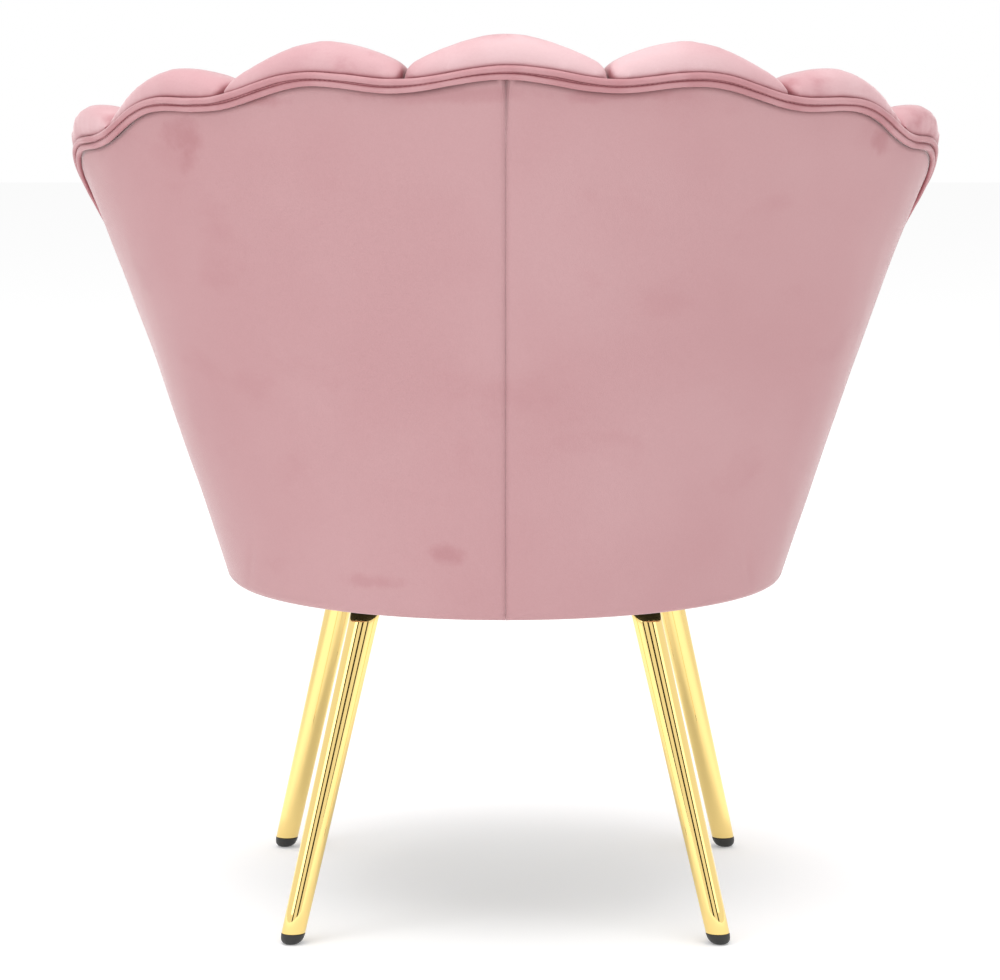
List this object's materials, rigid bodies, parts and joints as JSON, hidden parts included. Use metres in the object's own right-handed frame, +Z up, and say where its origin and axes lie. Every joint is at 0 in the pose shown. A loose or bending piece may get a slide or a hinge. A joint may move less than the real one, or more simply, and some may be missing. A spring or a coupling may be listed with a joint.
{
  "type": "scallop back chair",
  "caption": "Low tub armchair with a flared round shell, scalloped channel-padded back and wings, double welt along the waved rim, crowned seat, and splayed tapered metal legs with dark feet",
  "frame": {"origin": "on the floor under the middle of the chair's overall box", "axes": "+Z up, -Y the way a sitter faces, so the back is at +Y; +X is the sitter's left"},
  "size_m": [0.7554, 0.6624, 0.7809],
  "materials": {
    "gold_tube": "mirror-polished gold-coloured plating",
    "black_cap": "moulded black plastic",
    "plug_wood": "turned beech",
    "zinc_steel": "zinc-plated",
    "frame_wood": "sawn softwood",
    "plywood": "birch plywood",
    "hardboard": "hardboard",
    "wadding": "polyester wadding",
    "pad_velvet": "short pink velvet over foam",
    "cover_velvet": "short pink velvet",
    "seat_velvet": "short pink velvet",
    "welt_velvet": "velvet-covered piping cord",
    "foam": "cut upholstery foam",
    "webbing": "elastic upholstery webbing",
    "lining": "black non-woven lining"
  },
  "bodies": {
    "root": {"back_rib_1": "frame_wood", "back_rib_2": "frame_wood", "back_rib_3": "frame_wood", "back_rib_4": "frame_wood", "back_rib_5": "frame_wood", "back_rib_6": "frame_wood", "back_rib_7": "frame_wood", "back_rib_8": "frame_wood", "back_wadding": "wadding", "base_ring": "plywood", "base_screws": "zinc_steel", "channel_pad_centre": "pad_velvet", "channel_pad_left_inner": "pad_velvet", "channel_pad_left_middle": "pad_velvet", "channel_pad_left_outer": "pad_velvet", "channel_pad_right_inner": "pad_velvet", "channel_pad_right_middle": "pad_velvet", "channel_pad_right_outer": "pad_velvet", "dust_cover": "lining", "foot_cap_front_left": "black_cap", "foot_cap_front_right": "black_cap", "foot_cap_rear_left": "black_cap", "foot_cap_rear_right": "black_cap", "front_band_cover": "cover_velvet", "front_board": "hardboard", "front_post_1": "frame_wood", "front_post_2": "frame_wood", "front_post_3": "frame_wood", "front_wadding": "wadding", "inner_board": "hardboard", "leg_block_front_left": "frame_wood", "leg_block_front_right": "frame_wood", "leg_block_rear_left": "frame_wood", "leg_block_rear_right": "frame_wood", "leg_plug_front_left": "plug_wood", "leg_plug_front_right": "plug_wood", "leg_plug_rear_left": "plug_wood", "leg_plug_rear_right": "plug_wood", "leg_studs": "zinc_steel", "leg_tube_front_left": "gold_tube", "leg_tube_front_right": "gold_tube", "leg_tube_rear_left": "gold_tube", "leg_tube_rear_right": "gold_tube", "outer_board": "hardboard", "outer_cover_left": "cover_velvet", "outer_cover_right": "cover_velvet", "rim_hoop": "plywood", "seat_cover": "seat_velvet", "seat_foam": "foam", "seat_ring": "plywood", "tee_nuts": "zinc_steel", "webbing_across": "webbing", "webbing_lengthwise": "webbing", "welt_cord_lower": "welt_velvet", "welt_cord_upper": "welt_velvet"}
  },
  "joints": []
}
